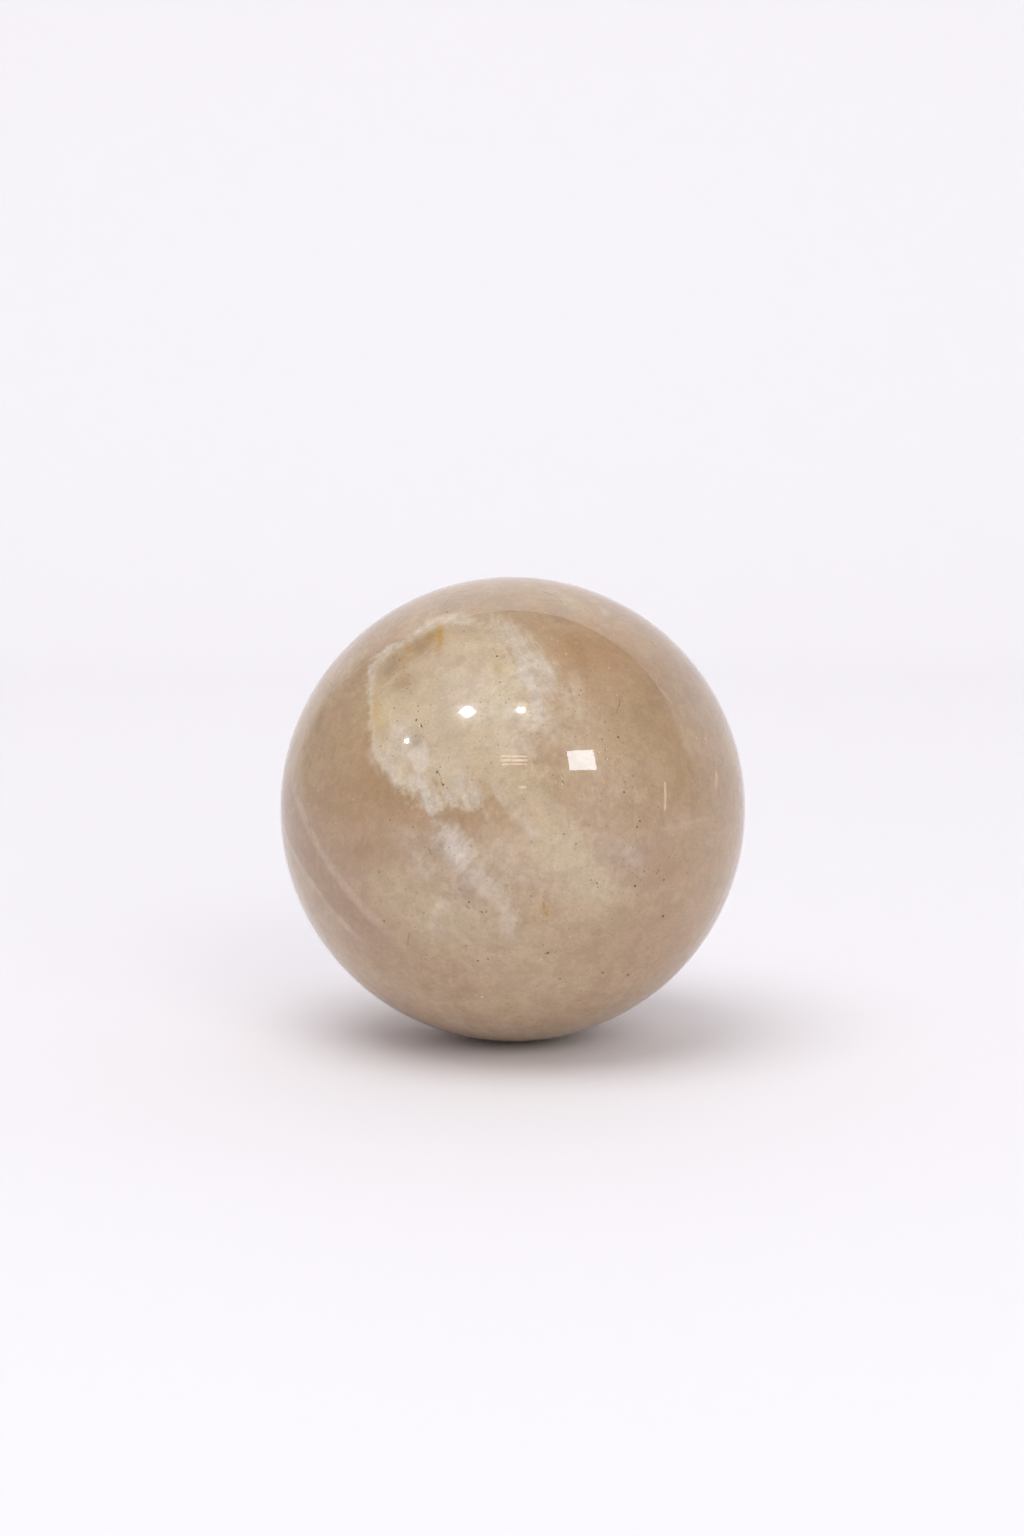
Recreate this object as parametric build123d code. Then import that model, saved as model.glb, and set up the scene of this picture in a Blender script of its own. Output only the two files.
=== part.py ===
from build123d import *

import os

# A solid ball of natural stone, ground round and polished, in millimetres.
# The origin is the ball's centre and +Z is up.

# Driving dimension
BALL_DIAMETER = 55.0


def stone_ball():
    """The whole stone: a true sphere about the origin."""
    return Sphere(radius=BALL_DIAMETER / 2)


os.makedirs("parts", exist_ok=True)
export_step(stone_ball(), "parts/stone_ball.step")
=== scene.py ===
import math

import bmesh
import bpy
import numpy as np
from mathutils import Euler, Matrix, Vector
from mathutils.kdtree import KDTree


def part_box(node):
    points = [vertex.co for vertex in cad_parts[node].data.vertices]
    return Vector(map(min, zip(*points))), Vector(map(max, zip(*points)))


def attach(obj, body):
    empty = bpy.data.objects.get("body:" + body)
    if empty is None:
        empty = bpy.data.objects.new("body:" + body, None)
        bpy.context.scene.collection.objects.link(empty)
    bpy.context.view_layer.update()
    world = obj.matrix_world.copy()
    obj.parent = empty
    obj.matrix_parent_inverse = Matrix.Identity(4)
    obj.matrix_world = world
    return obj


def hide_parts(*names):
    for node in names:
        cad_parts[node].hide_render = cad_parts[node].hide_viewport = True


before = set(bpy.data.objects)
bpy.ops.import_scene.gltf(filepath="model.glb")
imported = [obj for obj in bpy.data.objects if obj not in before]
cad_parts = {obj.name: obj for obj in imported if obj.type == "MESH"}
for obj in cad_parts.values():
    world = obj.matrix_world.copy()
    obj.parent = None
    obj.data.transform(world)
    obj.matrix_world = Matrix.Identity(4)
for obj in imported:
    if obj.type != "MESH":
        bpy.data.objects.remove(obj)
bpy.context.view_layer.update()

# A solid polished ball of cloudy feldspar, in metres, in the part's own frame:
# +Z is up, and the origin is the ball's centre.

# Sizes
MM = 0.001
RADIUS = min(abs(value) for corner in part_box("stone_ball") for value in corner)

# The photograph's frame, and the ball's place in it, in pixels
FRAME_WIDTH = 1024
FRAME_HEIGHT = 1536
BALL_X = 512.7
BALL_Y = 809.0
BALL_RADIUS = 232.5
PIXEL = RADIUS / BALL_RADIUS

# Its camera, and the cosines between which the surface turns out of its sight
CAMERA_ELEVATION = math.radians(8.5)
CAMERA_DISTANCE = 14 * RADIUS
CAMERA_REACH = 400 * RADIUS
FACING_FADE = (-0.45, -0.05)
SENSOR = 36.0
FOCAL_PIXELS = BALL_RADIUS * math.sqrt(CAMERA_DISTANCE**2 - RADIUS**2) / RADIUS

# Ball mesh: squares along each side of the six patches, and rounds of finer squares at small marks
PATCH_SQUARES = 74
FINE_ROUNDS = 3
SQUARE = RADIUS * math.pi / 2 / PATCH_SQUARES


def linear(red, green, blue):
    """A colour as the photograph shows it, from 0 to 255, as linear light, by the sRGB rule."""
    share = np.array((red, green, blue)) / 255
    light = np.where(share <= 0.04045, share / 12.92, ((share + 0.055) / 1.055) ** 2.4)
    return (*light.tolist(), 1.0)


def smooth_step(low, high, values):
    """0 below low, 1 above high, with an eased rise between them."""
    share = np.clip((values - low) / (high - low), 0, 1)
    return share * share * (3 - 2 * share)


# Camera

def make_camera():
    """The photograph's camera: it looks along +Y, a little from above."""
    data = bpy.data.cameras.new("camera")
    data.sensor_width = SENSOR
    data.lens = FOCAL_PIXELS * SENSOR / FRAME_HEIGHT
    data.clip_start = RADIUS
    data.clip_end = CAMERA_REACH
    camera = bpy.data.objects.new("camera", data)
    bpy.context.collection.objects.link(camera)
    back = Vector((0, -math.cos(CAMERA_ELEVATION), math.sin(CAMERA_ELEVATION)))
    camera.location = CAMERA_DISTANCE * back
    tilt = math.atan2(BALL_Y - FRAME_HEIGHT / 2, FOCAL_PIXELS)
    turn = math.atan2(BALL_X - FRAME_WIDTH / 2, FOCAL_PIXELS)
    camera.rotation_euler = Euler((math.pi / 2 - CAMERA_ELEVATION + tilt, 0, turn))
    bpy.context.scene.camera = camera
    return camera


camera = make_camera()
CAMERA_PLACE = np.array(camera.location)
CAMERA_AXES = np.array(camera.rotation_euler.to_matrix())


def on_ball(x, y):
    """The unit direction, from the ball's centre, of the surface point at a pixel of the photograph."""
    sight = CAMERA_AXES @ np.array((x - FRAME_WIDTH / 2, FRAME_HEIGHT / 2 - y, -FOCAL_PIXELS))
    sight /= np.linalg.norm(sight)
    nearest = -CAMERA_PLACE @ sight
    miss = CAMERA_PLACE + nearest * sight
    depth = math.sqrt(max(RADIUS**2 - miss @ miss, 0))
    point = miss - depth * sight
    return point / np.linalg.norm(point)


def seen_from(points, turn):
    """The points' pixels once the ball is turned about +Z, and 1 where the camera sees them."""
    cos, sin = math.cos(turn), math.sin(turn)
    turned = points @ np.array(((cos, sin, 0), (-sin, cos, 0), (0, 0, 1)))
    sight = CAMERA_PLACE - turned
    facing = (turned * sight).sum(1) / (np.linalg.norm(turned, axis=1) * np.linalg.norm(sight, axis=1))
    seen = -sight @ CAMERA_AXES
    x = FRAME_WIDTH / 2 - FOCAL_PIXELS * seen[:, 0] / seen[:, 2]
    y = FRAME_HEIGHT / 2 + FOCAL_PIXELS * seen[:, 1] / seen[:, 2]
    return np.stack((x, y), axis=1), smooth_step(*FACING_FADE, facing)


# Materials

# The shares of a line's and a dot's half width that have full strength
LINE_CORE = 0.3
DOT_CORE = 0.4
# A dot shows if its random number is above the first of these, and is strongest at the second
DOT_CHANCE = (0.4, 1.0)
DOT_STRENGTH = 0.45
# The noise that makes fibres: the size of its lumps in fibres, detail, roughness
FIBRE_NOISE = (1, 3, 0.55)
# A mix node's sockets for colours
MIX_UNDER, MIX_OVER, MIX_RESULT = 6, 7, 2


class Web:
    """The nodes of a material or of the air, and ways to add and join them."""

    def __init__(self, owner):
        owner.use_nodes = True
        self.nodes = owner.node_tree.nodes
        self.links = owner.node_tree.links

    def put(self, socket, value):
        """Joins a socket to another one, or sets its number or colour."""
        if isinstance(value, bpy.types.NodeSocket):
            self.links.new(value, socket)
        else:
            socket.default_value = value

    def attribute(self, name, output="Fac"):
        """What the mesh's points hold under a name."""
        node = self.nodes.new("ShaderNodeAttribute")
        node.attribute_name = name
        return node.outputs[output]

    def math(self, operation, first, second=0.0, clamp=False):
        node = self.nodes.new("ShaderNodeMath")
        node.operation = operation
        node.use_clamp = clamp
        self.put(node.inputs[0], first)
        self.put(node.inputs[1], second)
        return node.outputs[0]

    def glow(self, kind, colour, strength):
        """A shader that gives out light."""
        node = self.nodes.new("ShaderNode" + kind)
        self.put(node.inputs["Color"], colour)
        self.put(node.inputs["Strength"], strength)
        return node.outputs[0]

    def join(self, kind, *values):
        """Two shaders in one."""
        node = self.nodes.new("ShaderNode" + kind)
        for socket, value in zip(node.inputs, values):
            self.put(socket, value)
        return node.outputs[0]

    def vector(self, operation, first, second):
        node = self.nodes.new("ShaderNodeVectorMath")
        node.operation = operation
        self.put(node.inputs[0], first)
        self.put(node.inputs[1], second)
        return node.outputs[0]

    def rise(self, value, low, high, start=0.0, end=1.0):
        """Eases from start to end as value goes from low to high."""
        node = self.nodes.new("ShaderNodeMapRange")
        node.interpolation_type = "SMOOTHSTEP"
        self.put(node.inputs["Value"], value)
        for name, number in (("From Min", low), ("From Max", high), ("To Min", start), ("To Max", end)):
            node.inputs[name].default_value = number
        return node.outputs["Result"]

    def product(self, first, *others):
        for other in others:
            first = self.math("MULTIPLY", first, other)
        return first

    def shifted(self, value, noise, amount):
        """A value pushed up and down by a noise."""
        return self.math("ADD", value, self.math("MULTIPLY", self.math("SUBTRACT", noise, 0.5), amount))

    def line(self, value, half_width):
        """1 where a value is near zero."""
        return self.rise(self.math("ABSOLUTE", value), LINE_CORE * half_width, half_width, 1.0, 0.0)

    def mix(self, share, under, over):
        """One colour laid over another."""
        node = self.nodes.new("ShaderNodeMix")
        node.data_type = "RGBA"
        self.put(node.inputs["Factor"], share)
        self.put(node.inputs[MIX_UNDER], under)
        self.put(node.inputs[MIX_OVER], over)
        return node.outputs[MIX_RESULT]

    def noise(self, place, size, detail, roughness, distortion=0.0, output="Fac"):
        """Clouds with lumps of about this size, in metres."""
        node = self.nodes.new("ShaderNodeTexNoise")
        self.put(node.inputs["Vector"], place)
        node.inputs["Scale"].default_value = 1 / size
        node.inputs["Detail"].default_value = detail
        node.inputs["Roughness"].default_value = roughness
        node.inputs["Distortion"].default_value = distortion
        return node.outputs[output]

    def dots(self, place, spacing, size):
        """Scattered dots, some stronger than others, this far apart in metres.

        Their half width is given as a share of that.
        """
        node = self.nodes.new("ShaderNodeTexVoronoi")
        self.put(node.inputs["Vector"], place)
        node.inputs["Scale"].default_value = 1 / spacing
        chance = self.nodes.new("ShaderNodeSeparateXYZ")
        self.put(chance.inputs[0], node.outputs["Color"])
        spot = self.rise(node.outputs["Distance"], DOT_CORE * size, size, 1.0, 0.0)
        return self.product(spot, self.rise(chance.outputs["X"], *DOT_CHANCE, 0.0, DOT_STRENGTH))

    def wavy(self, fan, noise, amount):
        """A fan whose fibres are pushed to and fro by a coloured noise, by about a tenth of this."""
        return self.vector("ADD", fan, self.vector("MULTIPLY", noise, (amount, amount, 0)))

    def fibres(self, fan, width, length):
        """Streaks of this width and length, in pixels, along a fan."""
        return self.noise(self.vector("DIVIDE", fan, (width, length, 1)), *FIBRE_NOISE)


# Studio: floor and backdrop in one sweep, soft light, and the panels that the polish mirrors

FLOOR_FRONT = -1.8
FLOOR_BACK = 1.8
FLOOR_LEFT = -1.8
WALL_BACK = 0.62
WALL_LEFT = -0.75
WALL_RIGHT = 2.6
WALL_HEIGHT = 1.05
SWEEP_RADIUS = 0.22
SWEEP_STEPS = 24

# The paper, which fades out over these distances and up to this height on the floor,
# and from this place to the left on the wall
PAPER = linear(245, 243, 246)
PAPER_ROUGHNESS = 0.7
PAPER_GLOSS = 0.2
FADE_START = 0.75
FADE_END = 1.6
FADE_HEIGHT = 0.04
WALL_FADE = -0.42

# The air's colour and strength as light, and as the camera sees it
LIT_AIR = (linear(252, 250, 254), 0.56)
SEEN_AIR = (linear(250, 248, 252), 0.95)
# The air that the polish mirrors: its colour, and its strength at the horizon and above it,
# from a direction with this upward share on
MIRRORED_AIR = linear(255, 248, 240)
MIRRORED_STRENGTHS = (0.6, 0.06)
MIRRORED_TOP = 0.2

# Soft lamps: place, width, power, and the point that each looks at
SOFT_LIGHTS = {
    "top_light": ((-0.25, -0.35, 1.3), 1.1, 7.8, (0, 0, 0)),
    "front_light": ((0.5, -1.3, 0.7), 1.0, 6.2, (0, 0, 0)),
    "wall_light": ((1.9, -0.5, 0.8), 0.8, 3, (2.2, WALL_BACK, 0.4)),
}


def paper_material():
    """Even, matt paper that fades away into the air far from the ball."""
    material = bpy.data.materials.new("studio_paper")
    web = Web(material)
    shader = web.nodes["Principled BSDF"]
    shader.inputs["Base Color"].default_value = PAPER
    shader.inputs["Roughness"].default_value = PAPER_ROUGHNESS
    shader.inputs["Specular IOR Level"].default_value = PAPER_GLOSS
    place = web.nodes.new("ShaderNodeSeparateXYZ")
    web.put(place.inputs[0], web.nodes.new("ShaderNodeTexCoord").outputs["Object"])
    squares = [web.product(place.outputs[axis], place.outputs[axis]) for axis in ("X", "Y")]
    away = web.math("SQRT", web.math("ADD", *squares))
    low = web.rise(place.outputs["Z"], FADE_HEIGHT / 2 - RADIUS, FADE_HEIGHT - RADIUS, 1.0, 0.0)
    far_floor = web.product(web.rise(away, FADE_START, FADE_END), low)
    wall_left = web.rise(place.outputs["X"], WALL_LEFT, WALL_FADE, 1.0, 0.0)
    wall_end = web.product(wall_left, web.math("SUBTRACT", 1.0, low))
    share = web.math("MAXIMUM", far_floor, wall_end)
    fade = web.join("MixShader", share, shader.outputs[0], web.join("BsdfTransparent"))
    web.put(web.nodes["Material Output"].inputs["Surface"], fade)
    return material


def add_mesh(name, points, faces, material):
    """A new mesh object in the part's frame."""
    mesh = bpy.data.meshes.new(name)
    mesh.from_pydata([tuple(point) for point in points], [], faces)
    mesh.materials.append(material)
    piece = bpy.data.objects.new(name, mesh)
    bpy.context.collection.objects.link(piece)
    return piece


def make_floor():
    """A wide floor that runs up into a backdrop behind the ball, in one round sweep."""
    paper = paper_material()
    ground = -RADIUS
    foot = WALL_BACK - SWEEP_RADIUS
    profile = [(FLOOR_FRONT, ground)]
    for step in range(SWEEP_STEPS + 1):
        angle = math.pi / 2 * step / SWEEP_STEPS
        profile.append((foot + SWEEP_RADIUS * math.sin(angle), ground + SWEEP_RADIUS * (1 - math.cos(angle))))
    profile.append((WALL_BACK, ground + WALL_HEIGHT))
    points = [(x, y, z) for y, z in profile for x in (WALL_LEFT, WALL_RIGHT)]
    starts = range(0, len(points) - 2, 2)
    faces = [(start, start + 1, start + 3, start + 2) for start in starts]
    backdrop = add_mesh("backdrop", points, faces, paper)
    for face in backdrop.data.polygons:
        face.use_smooth = True
    front = [(x, FLOOR_FRONT, ground) for x in (FLOOR_LEFT, WALL_LEFT)]
    back = [(x, FLOOR_BACK, ground) for x in (WALL_LEFT, FLOOR_LEFT)]
    add_mesh("floor_left", front + back, [(0, 1, 2, 3)], paper)


def soft_light(name, place, size, power, aim):
    """A large soft lamp that lights the studio but isn't mirrored in the ball."""
    data = bpy.data.lights.new(name, "AREA")
    data.shape = "DISK"
    data.size = size
    data.energy = power
    lamp = bpy.data.objects.new(name, data)
    lamp.location = place
    lamp.rotation_euler = (Vector(place) - Vector(aim)).to_track_quat("Z", "Y").to_euler()
    lamp.visible_glossy = False
    lamp.visible_camera = False
    bpy.context.collection.objects.link(lamp)


def make_world():
    """Even light all round, which the camera sees as pale air; the polish mirrors a dim room."""
    world = bpy.data.worlds.new("studio_air")
    bpy.context.scene.world = world
    web = Web(world)
    web.nodes.clear()
    path = web.nodes.new("ShaderNodeLightPath")
    height = web.nodes.new("ShaderNodeSeparateXYZ")
    web.put(height.inputs[0], web.nodes.new("ShaderNodeTexCoord").outputs["Generated"])
    strength = web.rise(height.outputs["Z"], 0.0, MIRRORED_TOP, *MIRRORED_STRENGTHS)
    mirrored = web.glow("Background", MIRRORED_AIR, strength)
    unseen = web.join("MixShader", path.outputs["Is Glossy Ray"], web.glow("Background", *LIT_AIR), mirrored)
    seen = web.glow("Background", *SEEN_AIR)
    final = web.join("MixShader", path.outputs["Is Camera Ray"], unseen, seen)
    web.put(web.nodes.new("ShaderNodeOutputWorld").inputs["Surface"], final)


def glow_material(name, colour, strength, fades=False):
    """A glow, which may fade with what the points hold and let through what is behind it."""
    material = bpy.data.materials.new(name)
    web = Web(material)
    web.nodes.clear()
    if fades:
        light = web.glow("Emission", colour, web.product(web.attribute("glow"), strength))
        surface = web.join("AddShader", light, web.join("BsdfTransparent"))
    else:
        surface = web.glow("Emission", colour, strength)
    web.put(web.nodes.new("ShaderNodeOutputMaterial").inputs["Surface"], surface)
    return material


PANEL_DISTANCE = 1.6
FAR_DISTANCE = 0.7
HALO_DISTANCE = 1.65
WHITE = linear(255, 255, 255)
SKY = linear(230, 240, 252)
WARM = linear(255, 225, 204)


def mirrored_place(x, y, distance):
    """The place, this far off, that the ball mirrors at a pixel of the photograph."""
    normal = on_ball(x, y)
    to_camera = CAMERA_PLACE - RADIUS * normal
    to_camera /= np.linalg.norm(to_camera)
    return RADIUS * normal + distance * (2 * (normal @ to_camera) * normal - to_camera)


def stage_panel(panel):
    """Lets only the polish see a panel."""
    panel.visible_camera = False
    panel.visible_diffuse = False
    panel.visible_shadow = False


def mirror_panel(name, corners, strength, colour, distance=PANEL_DISTANCE):
    """A glowing panel that the ball mirrors at these pixels of the photograph."""
    points = [mirrored_place(x, y, distance) for x, y in corners]
    stage_panel(add_mesh(name, points, [tuple(range(len(points)))], glow_material(name, colour, strength)))


def mirror_halo(name, corners, strength):
    """A glow round a panel, strongest at its middle and gone at these pixels of the photograph."""
    middle = np.mean(corners, axis=0)
    count = len(corners)
    points = [mirrored_place(x, y, HALO_DISTANCE) for x, y in (*corners, middle)]
    faces = [(corner, (corner + 1) % count, count) for corner in range(count)]
    halo = add_mesh(name, points, faces, glow_material(name, WHITE, strength, True))
    halo.data.attributes.new("glow", "FLOAT", "POINT").data.foreach_set("value", [0.0] * count + [1.0])
    stage_panel(halo)


def oval(x, y, half_width, half_height, count=16):
    """Pixels round an ellipse."""
    turns = [2 * math.pi * step / count for step in range(count)]
    return [(x + half_width * math.cos(turn), y + half_height * math.sin(turn)) for turn in turns]


def bar(left, top, right, bottom):
    """Pixels round an upright rectangle."""
    return [(left, top), (right, top), (right, bottom), (left, bottom)]


# Panels: the pixels that mirror each, strength, colour, and the distance where it isn't the usual one
LARGE_LAMP = [
    (459, 712.5), (462, 708.7), (466, 706.2), (469, 706), (475.5, 711), (475, 713), (468, 718),
    (465.5, 717.8),
]
WINDOW = [(566.5, 751.3), (593, 749.8), (596.8, 770), (569.5, 770.3)]
SLAT_ROWS = ((755.5, 757.3), (759.2, 761.4), (763.6, 765.0))
SLAT_SIDES = (("left", 501, 511.3, 5.5), ("right", 512.7, 527, 6.5))
SLATS = {
    f"slat_{side}_{row}": (bar(left, top, right, bottom), strength, WARM)
    for row, (top, bottom) in enumerate(SLAT_ROWS) for side, left, right, strength in SLAT_SIDES
}
PANELS = {
    "lamp_large": (LARGE_LAMP, 34, WHITE),
    "lamp_small": (oval(521, 710, 4.6, 3.2), 30, WHITE),
    "lamp_left": (oval(407, 741, 2.4, 2.4), 30, WHITE),
    "window": (WINDOW, 13, SKY),
    **SLATS,
    "slat_low": (bar(518.5, 786, 527, 788.5), 5.0, WARM),
    "lamp_tall": (bar(663.6, 782, 665.8, 811), 4.5, WARM),
    "lamp_far": (bar(714.8, 772, 717.6, 787), 2.2, WARM, FAR_DISTANCE),
}
# Halos: the pixels where each ends, and strength
HALOS = {
    "halo_large": (oval(467.3, 712, 17, 13), 6),
    "halo_small": (oval(521, 710, 11, 9), 3),
    "halo_left": (oval(407, 741, 6, 6), 5),
    "halo_window": (bar(557, 742, 606, 778), 1.6),
}


def make_studio():
    """The floor, the air, the soft lamps, and what the polish mirrors."""
    make_floor()
    make_world()
    for name, settings in SOFT_LIGHTS.items():
        soft_light(name, *settings)
    for name, settings in PANELS.items():
        mirror_panel(name, *settings)
    for name, settings in HALOS.items():
        mirror_halo(name, *settings)


make_studio()


# Stone markings of the photographed side, with painted shade and painted glints, by pixels of the photograph

# Each stain's colour, or a painted shade's colour, and its soft smudges: x, y, half width, half height,
# strength, any turn in degrees
STAIN_COLOURS = {
    "pale": (201, 182, 154), "brown": (171, 139, 109), "orange": (174, 141, 108), "olive": (169, 140, 109),
    "lilac": (183, 160, 144), "mauve": (178, 148, 127), "yellow": (206, 186, 150), "blush": (196, 174, 153),
    # The greyish colour after buff is painted shade for the top and right outline
    "buff": (192, 169, 140), "painted_limb_shade": (158, 141, 129), "moss": (170, 146, 117), "tan": (176, 145, 112),
    "ochre": (186, 148, 84), "grey_and_painted_shadow": (176, 158, 141), "white": (220, 208, 195),
}
FRONT_STAINS = {
    "pale": [
        (537, 800, 18, 40, 0.7, -35), (558, 848, 34, 46, 0.7, -35), (592, 890, 36, 34, 0.65, -35),
        (500, 850, 30, 20, 0.4), (450, 922, 44, 30, 0.5, 20), (395, 898, 36, 30, 0.3),
        (590, 722, 34, 30, 0.3), (571, 604, 15, 6, 0.45, 24), (605, 612, 4, 3, 0.6, 20),
        (310, 720, 12, 40, 0.4), (512, 942, 40, 22, 0.45), (517, 897, 18, 26, 0.5, -20),
        (510, 872, 18, 12, 0.55),
    ],
    "brown": [
        (345, 745, 34, 40, 0.4), (350, 800, 60, 42, 0.55), (362, 852, 38, 18, 0.9),
        (402, 815, 32, 12, 0.6, 15), (690, 800, 36, 50, 0.55), (658, 866, 36, 18, 0.85),
        (645, 935, 70, 35, 0.45), (456, 818, 24, 8, 0.8, 6), (375, 935, 45, 25, 0.3, 30),
        (590, 802, 34, 14, 0.45), (545, 940, 34, 18, 0.25), (426, 834, 9, 9, 0.45), (700, 905, 22, 40, 0.35),
        (706, 860, 14, 20, 0.4), (690, 850, 16, 8, 0.4), (612, 725, 10, 40, 0.3), (674, 735, 14, 22, 0.4),
        (494, 808, 12, 12, 0.5), (518, 830, 10, 12, 0.3),
    ],
    "orange": [
        (590, 652, 48, 20, 0.95, 12), (640, 668, 30, 14, 0.5, 25), (368, 755, 9, 40, 0.6),
        (385, 795, 24, 14, 0.5, 30), (380, 778, 8, 7, 0.8), (408, 797, 5, 5, 0.8), (562, 646, 14, 14, 0.6),
        (565, 640, 4, 3, 0.6), (575, 595, 9, 3, 0.35, 15), (352, 822, 28, 16, 0.6),
    ],
    "olive": [(652, 703, 32, 30, 0.8)],
    "lilac": [(622, 857, 26, 22, 0.6)],
    "mauve": [(332, 868, 16, 60, 0.45, -31)],
    # Painted shade: greyish smudges that darken the stone along its top and right outline
    "painted_limb_shade": [
        (690, 690, 26, 56, 0.3, -30), (640, 622, 60, 12, 0.25, 32), (716, 780, 12, 50, 0.2),
        (470, 602, 50, 8, 0.3, -5), (505, 606, 20, 8, 0.3, 5), (560, 611, 18, 8, 0.35, 15),
    ],
}
PATCH_STAINS = {
    "yellow": [
        (500, 672, 8, 20, 0.8, -10), (512, 690, 14, 18, 0.6), (478, 650, 16, 12, 0.5),
        (398, 712, 26, 26, 0.6), (383, 720, 11, 24, 0.65, -8), (424, 688, 9, 20, 0.6, -8),
        (505, 672, 9, 24, 0.6, -12),
    ],
    "buff": [
        (425, 668, 22, 12, 0.6, -40), (395, 692, 16, 14, 0.5), (470, 768, 42, 22, 0.55),
        (440, 705, 12, 10, 0.3), (450, 752, 14, 18, 0.4), (515, 770, 26, 22, 0.5), (500, 800, 26, 12, 0.5),
        (482, 638, 14, 7, 0.6, 20), (460, 635, 10, 6, 0.5), (447, 641, 6, 9, 0.45),
        (407, 660, 6, 14, 0.5, 20), (410, 698, 8, 10, 0.4),
    ],
    "blush": [
        (455, 690, 40, 40, 0.4), (470, 660, 22, 20, 0.4), (558, 730, 28, 16, 0.65),
        (602, 797, 28, 16, 0.6, -10), (625, 775, 20, 16, 0.3), (495, 864, 26, 14, 0.65, -20),
        (515, 876, 18, 10, 0.6), (540, 885, 14, 10, 0.5), (455, 876, 10, 10, 0.5), (475, 860, 8, 8, 0.6),
        (490, 898, 14, 10, 0.45), (466, 868, 8, 10, 0.5), (440, 838, 8, 8, 0.4), (345, 668, 8, 20, 0.4, 20),
    ],
    "moss": [
        (392, 665, 18, 9, 0.9, -48), (422, 642, 17, 10, 1.0, -35), (404, 682, 10, 9, 0.6),
        (417, 645, 4, 4, 1.0), (420, 652, 5, 3, 0.7), (381, 680, 4, 3, 0.7), (470, 630, 22, 7, 0.4),
    ],
    "tan": [
        (402, 681, 7, 6, 0.45), (405.5, 657, 4, 4, 0.5), (458, 660, 6, 4, 0.25), (473, 670, 5, 6, 0.35),
        (435, 785, 4, 6, 0.7, 15), (509.5, 651, 2.4, 8, 0.7, -18), (490, 621.5, 4.5, 4, 1.0, -30),
        (430, 675, 3, 3, 0.35), (490, 872, 8, 3, 0.5, -45), (410, 771, 4, 5, 0.35),
        (387, 676, 5, 3, 0.4, -30), (423, 641, 14, 8, 0.45, -35), (494, 804, 12, 8, 0.3),
        (483, 789, 9, 7, 0.5), (460, 951, 20, 7, 0.25), (674, 735, 12, 16, 0.3), (628, 684, 20, 14, 0.4),
        (629, 829, 14, 9, 0.3), (600, 690, 18, 14, 0.25),
    ],
    "ochre": [
        (439.5, 636, 2.8, 13, 1.0, 3), (375.5, 707, 5, 17, 0.4), (381, 726, 6, 16, 0.25, -14),
        (408, 648, 4, 5, 0.6), (437, 633, 12, 12, 0.28), (404, 664, 8, 14, 0.18, 20), (497, 668, 3, 6, 0.35),
        (544.5, 909, 5, 7, 0.3, -20),
    ],
    # Grey smudges, some of them painted shadow: the one beside the pale pebble and the one left of the white
    # hatch
    "grey_and_painted_shadow": [
        (417, 742, 6, 9, 0.7, -30), (440, 846, 10, 15, 0.6, -35), (464, 888, 10, 9, 0.55),
        (452, 734, 6, 8, 0.4), (442, 717, 8, 4, 0.35),
    ],
    "white": [
        (421, 758, 6, 10, 0.5, 3), (406, 752, 9, 10, 0.55), (393, 748, 8, 8, 0.35), (470, 690, 30, 16, 0.2),
        (500, 688, 12, 14, 0.25), (520, 750, 14, 8, 0.45), (385, 652, 8, 4, 0.5, -45),
        (374, 664, 3, 8, 0.3, 10), (394, 645, 6, 2.5, 0.45, -10), (409, 638, 3.5, 3, 0.5, -40),
        (420, 631, 6, 2.5, 0.4, -35), (460, 620, 14, 4, 0.4), (430, 624, 4, 4, 0.5), (456, 710, 16, 10, 0.25),
        (486, 710, 12, 10, 0.45), (507, 709, 16, 11, 0.55), (517, 680, 8, 14, 0.35, -10),
        (530, 722, 14, 12, 0.35), (400, 734, 12, 12, 0.4), (446, 766, 14, 10, 0.25),
        (371, 678, 3, 14, 0.35, 3), (442, 905, 9, 2.5, 0.5, -28), (434.5, 916, 2.5, 8, 0.5, 16),
        (432, 928, 2.5, 7, 0.4, 4),
    ],
}

# The cream inclusion, and the veils and hatched frost around it
PATCH_OUTLINE = [
    (371, 700), (369, 684), (370, 670), (376, 659), (386, 648), (397, 645), (407, 640), (414, 633),
    (424, 627), (434, 620), (446, 617), (458, 618), (470, 621), (482, 626), (493, 636), (502, 648),
    (510, 660), (519, 676), (527, 692), (533, 712), (536, 735), (530, 765), (518, 784), (504, 793),
    (489, 797), (474, 801), (458, 806), (445, 806), (430, 803), (415, 796), (400, 786), (388, 776),
    (378, 764), (372, 750), (371, 735), (370, 718),
]
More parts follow.
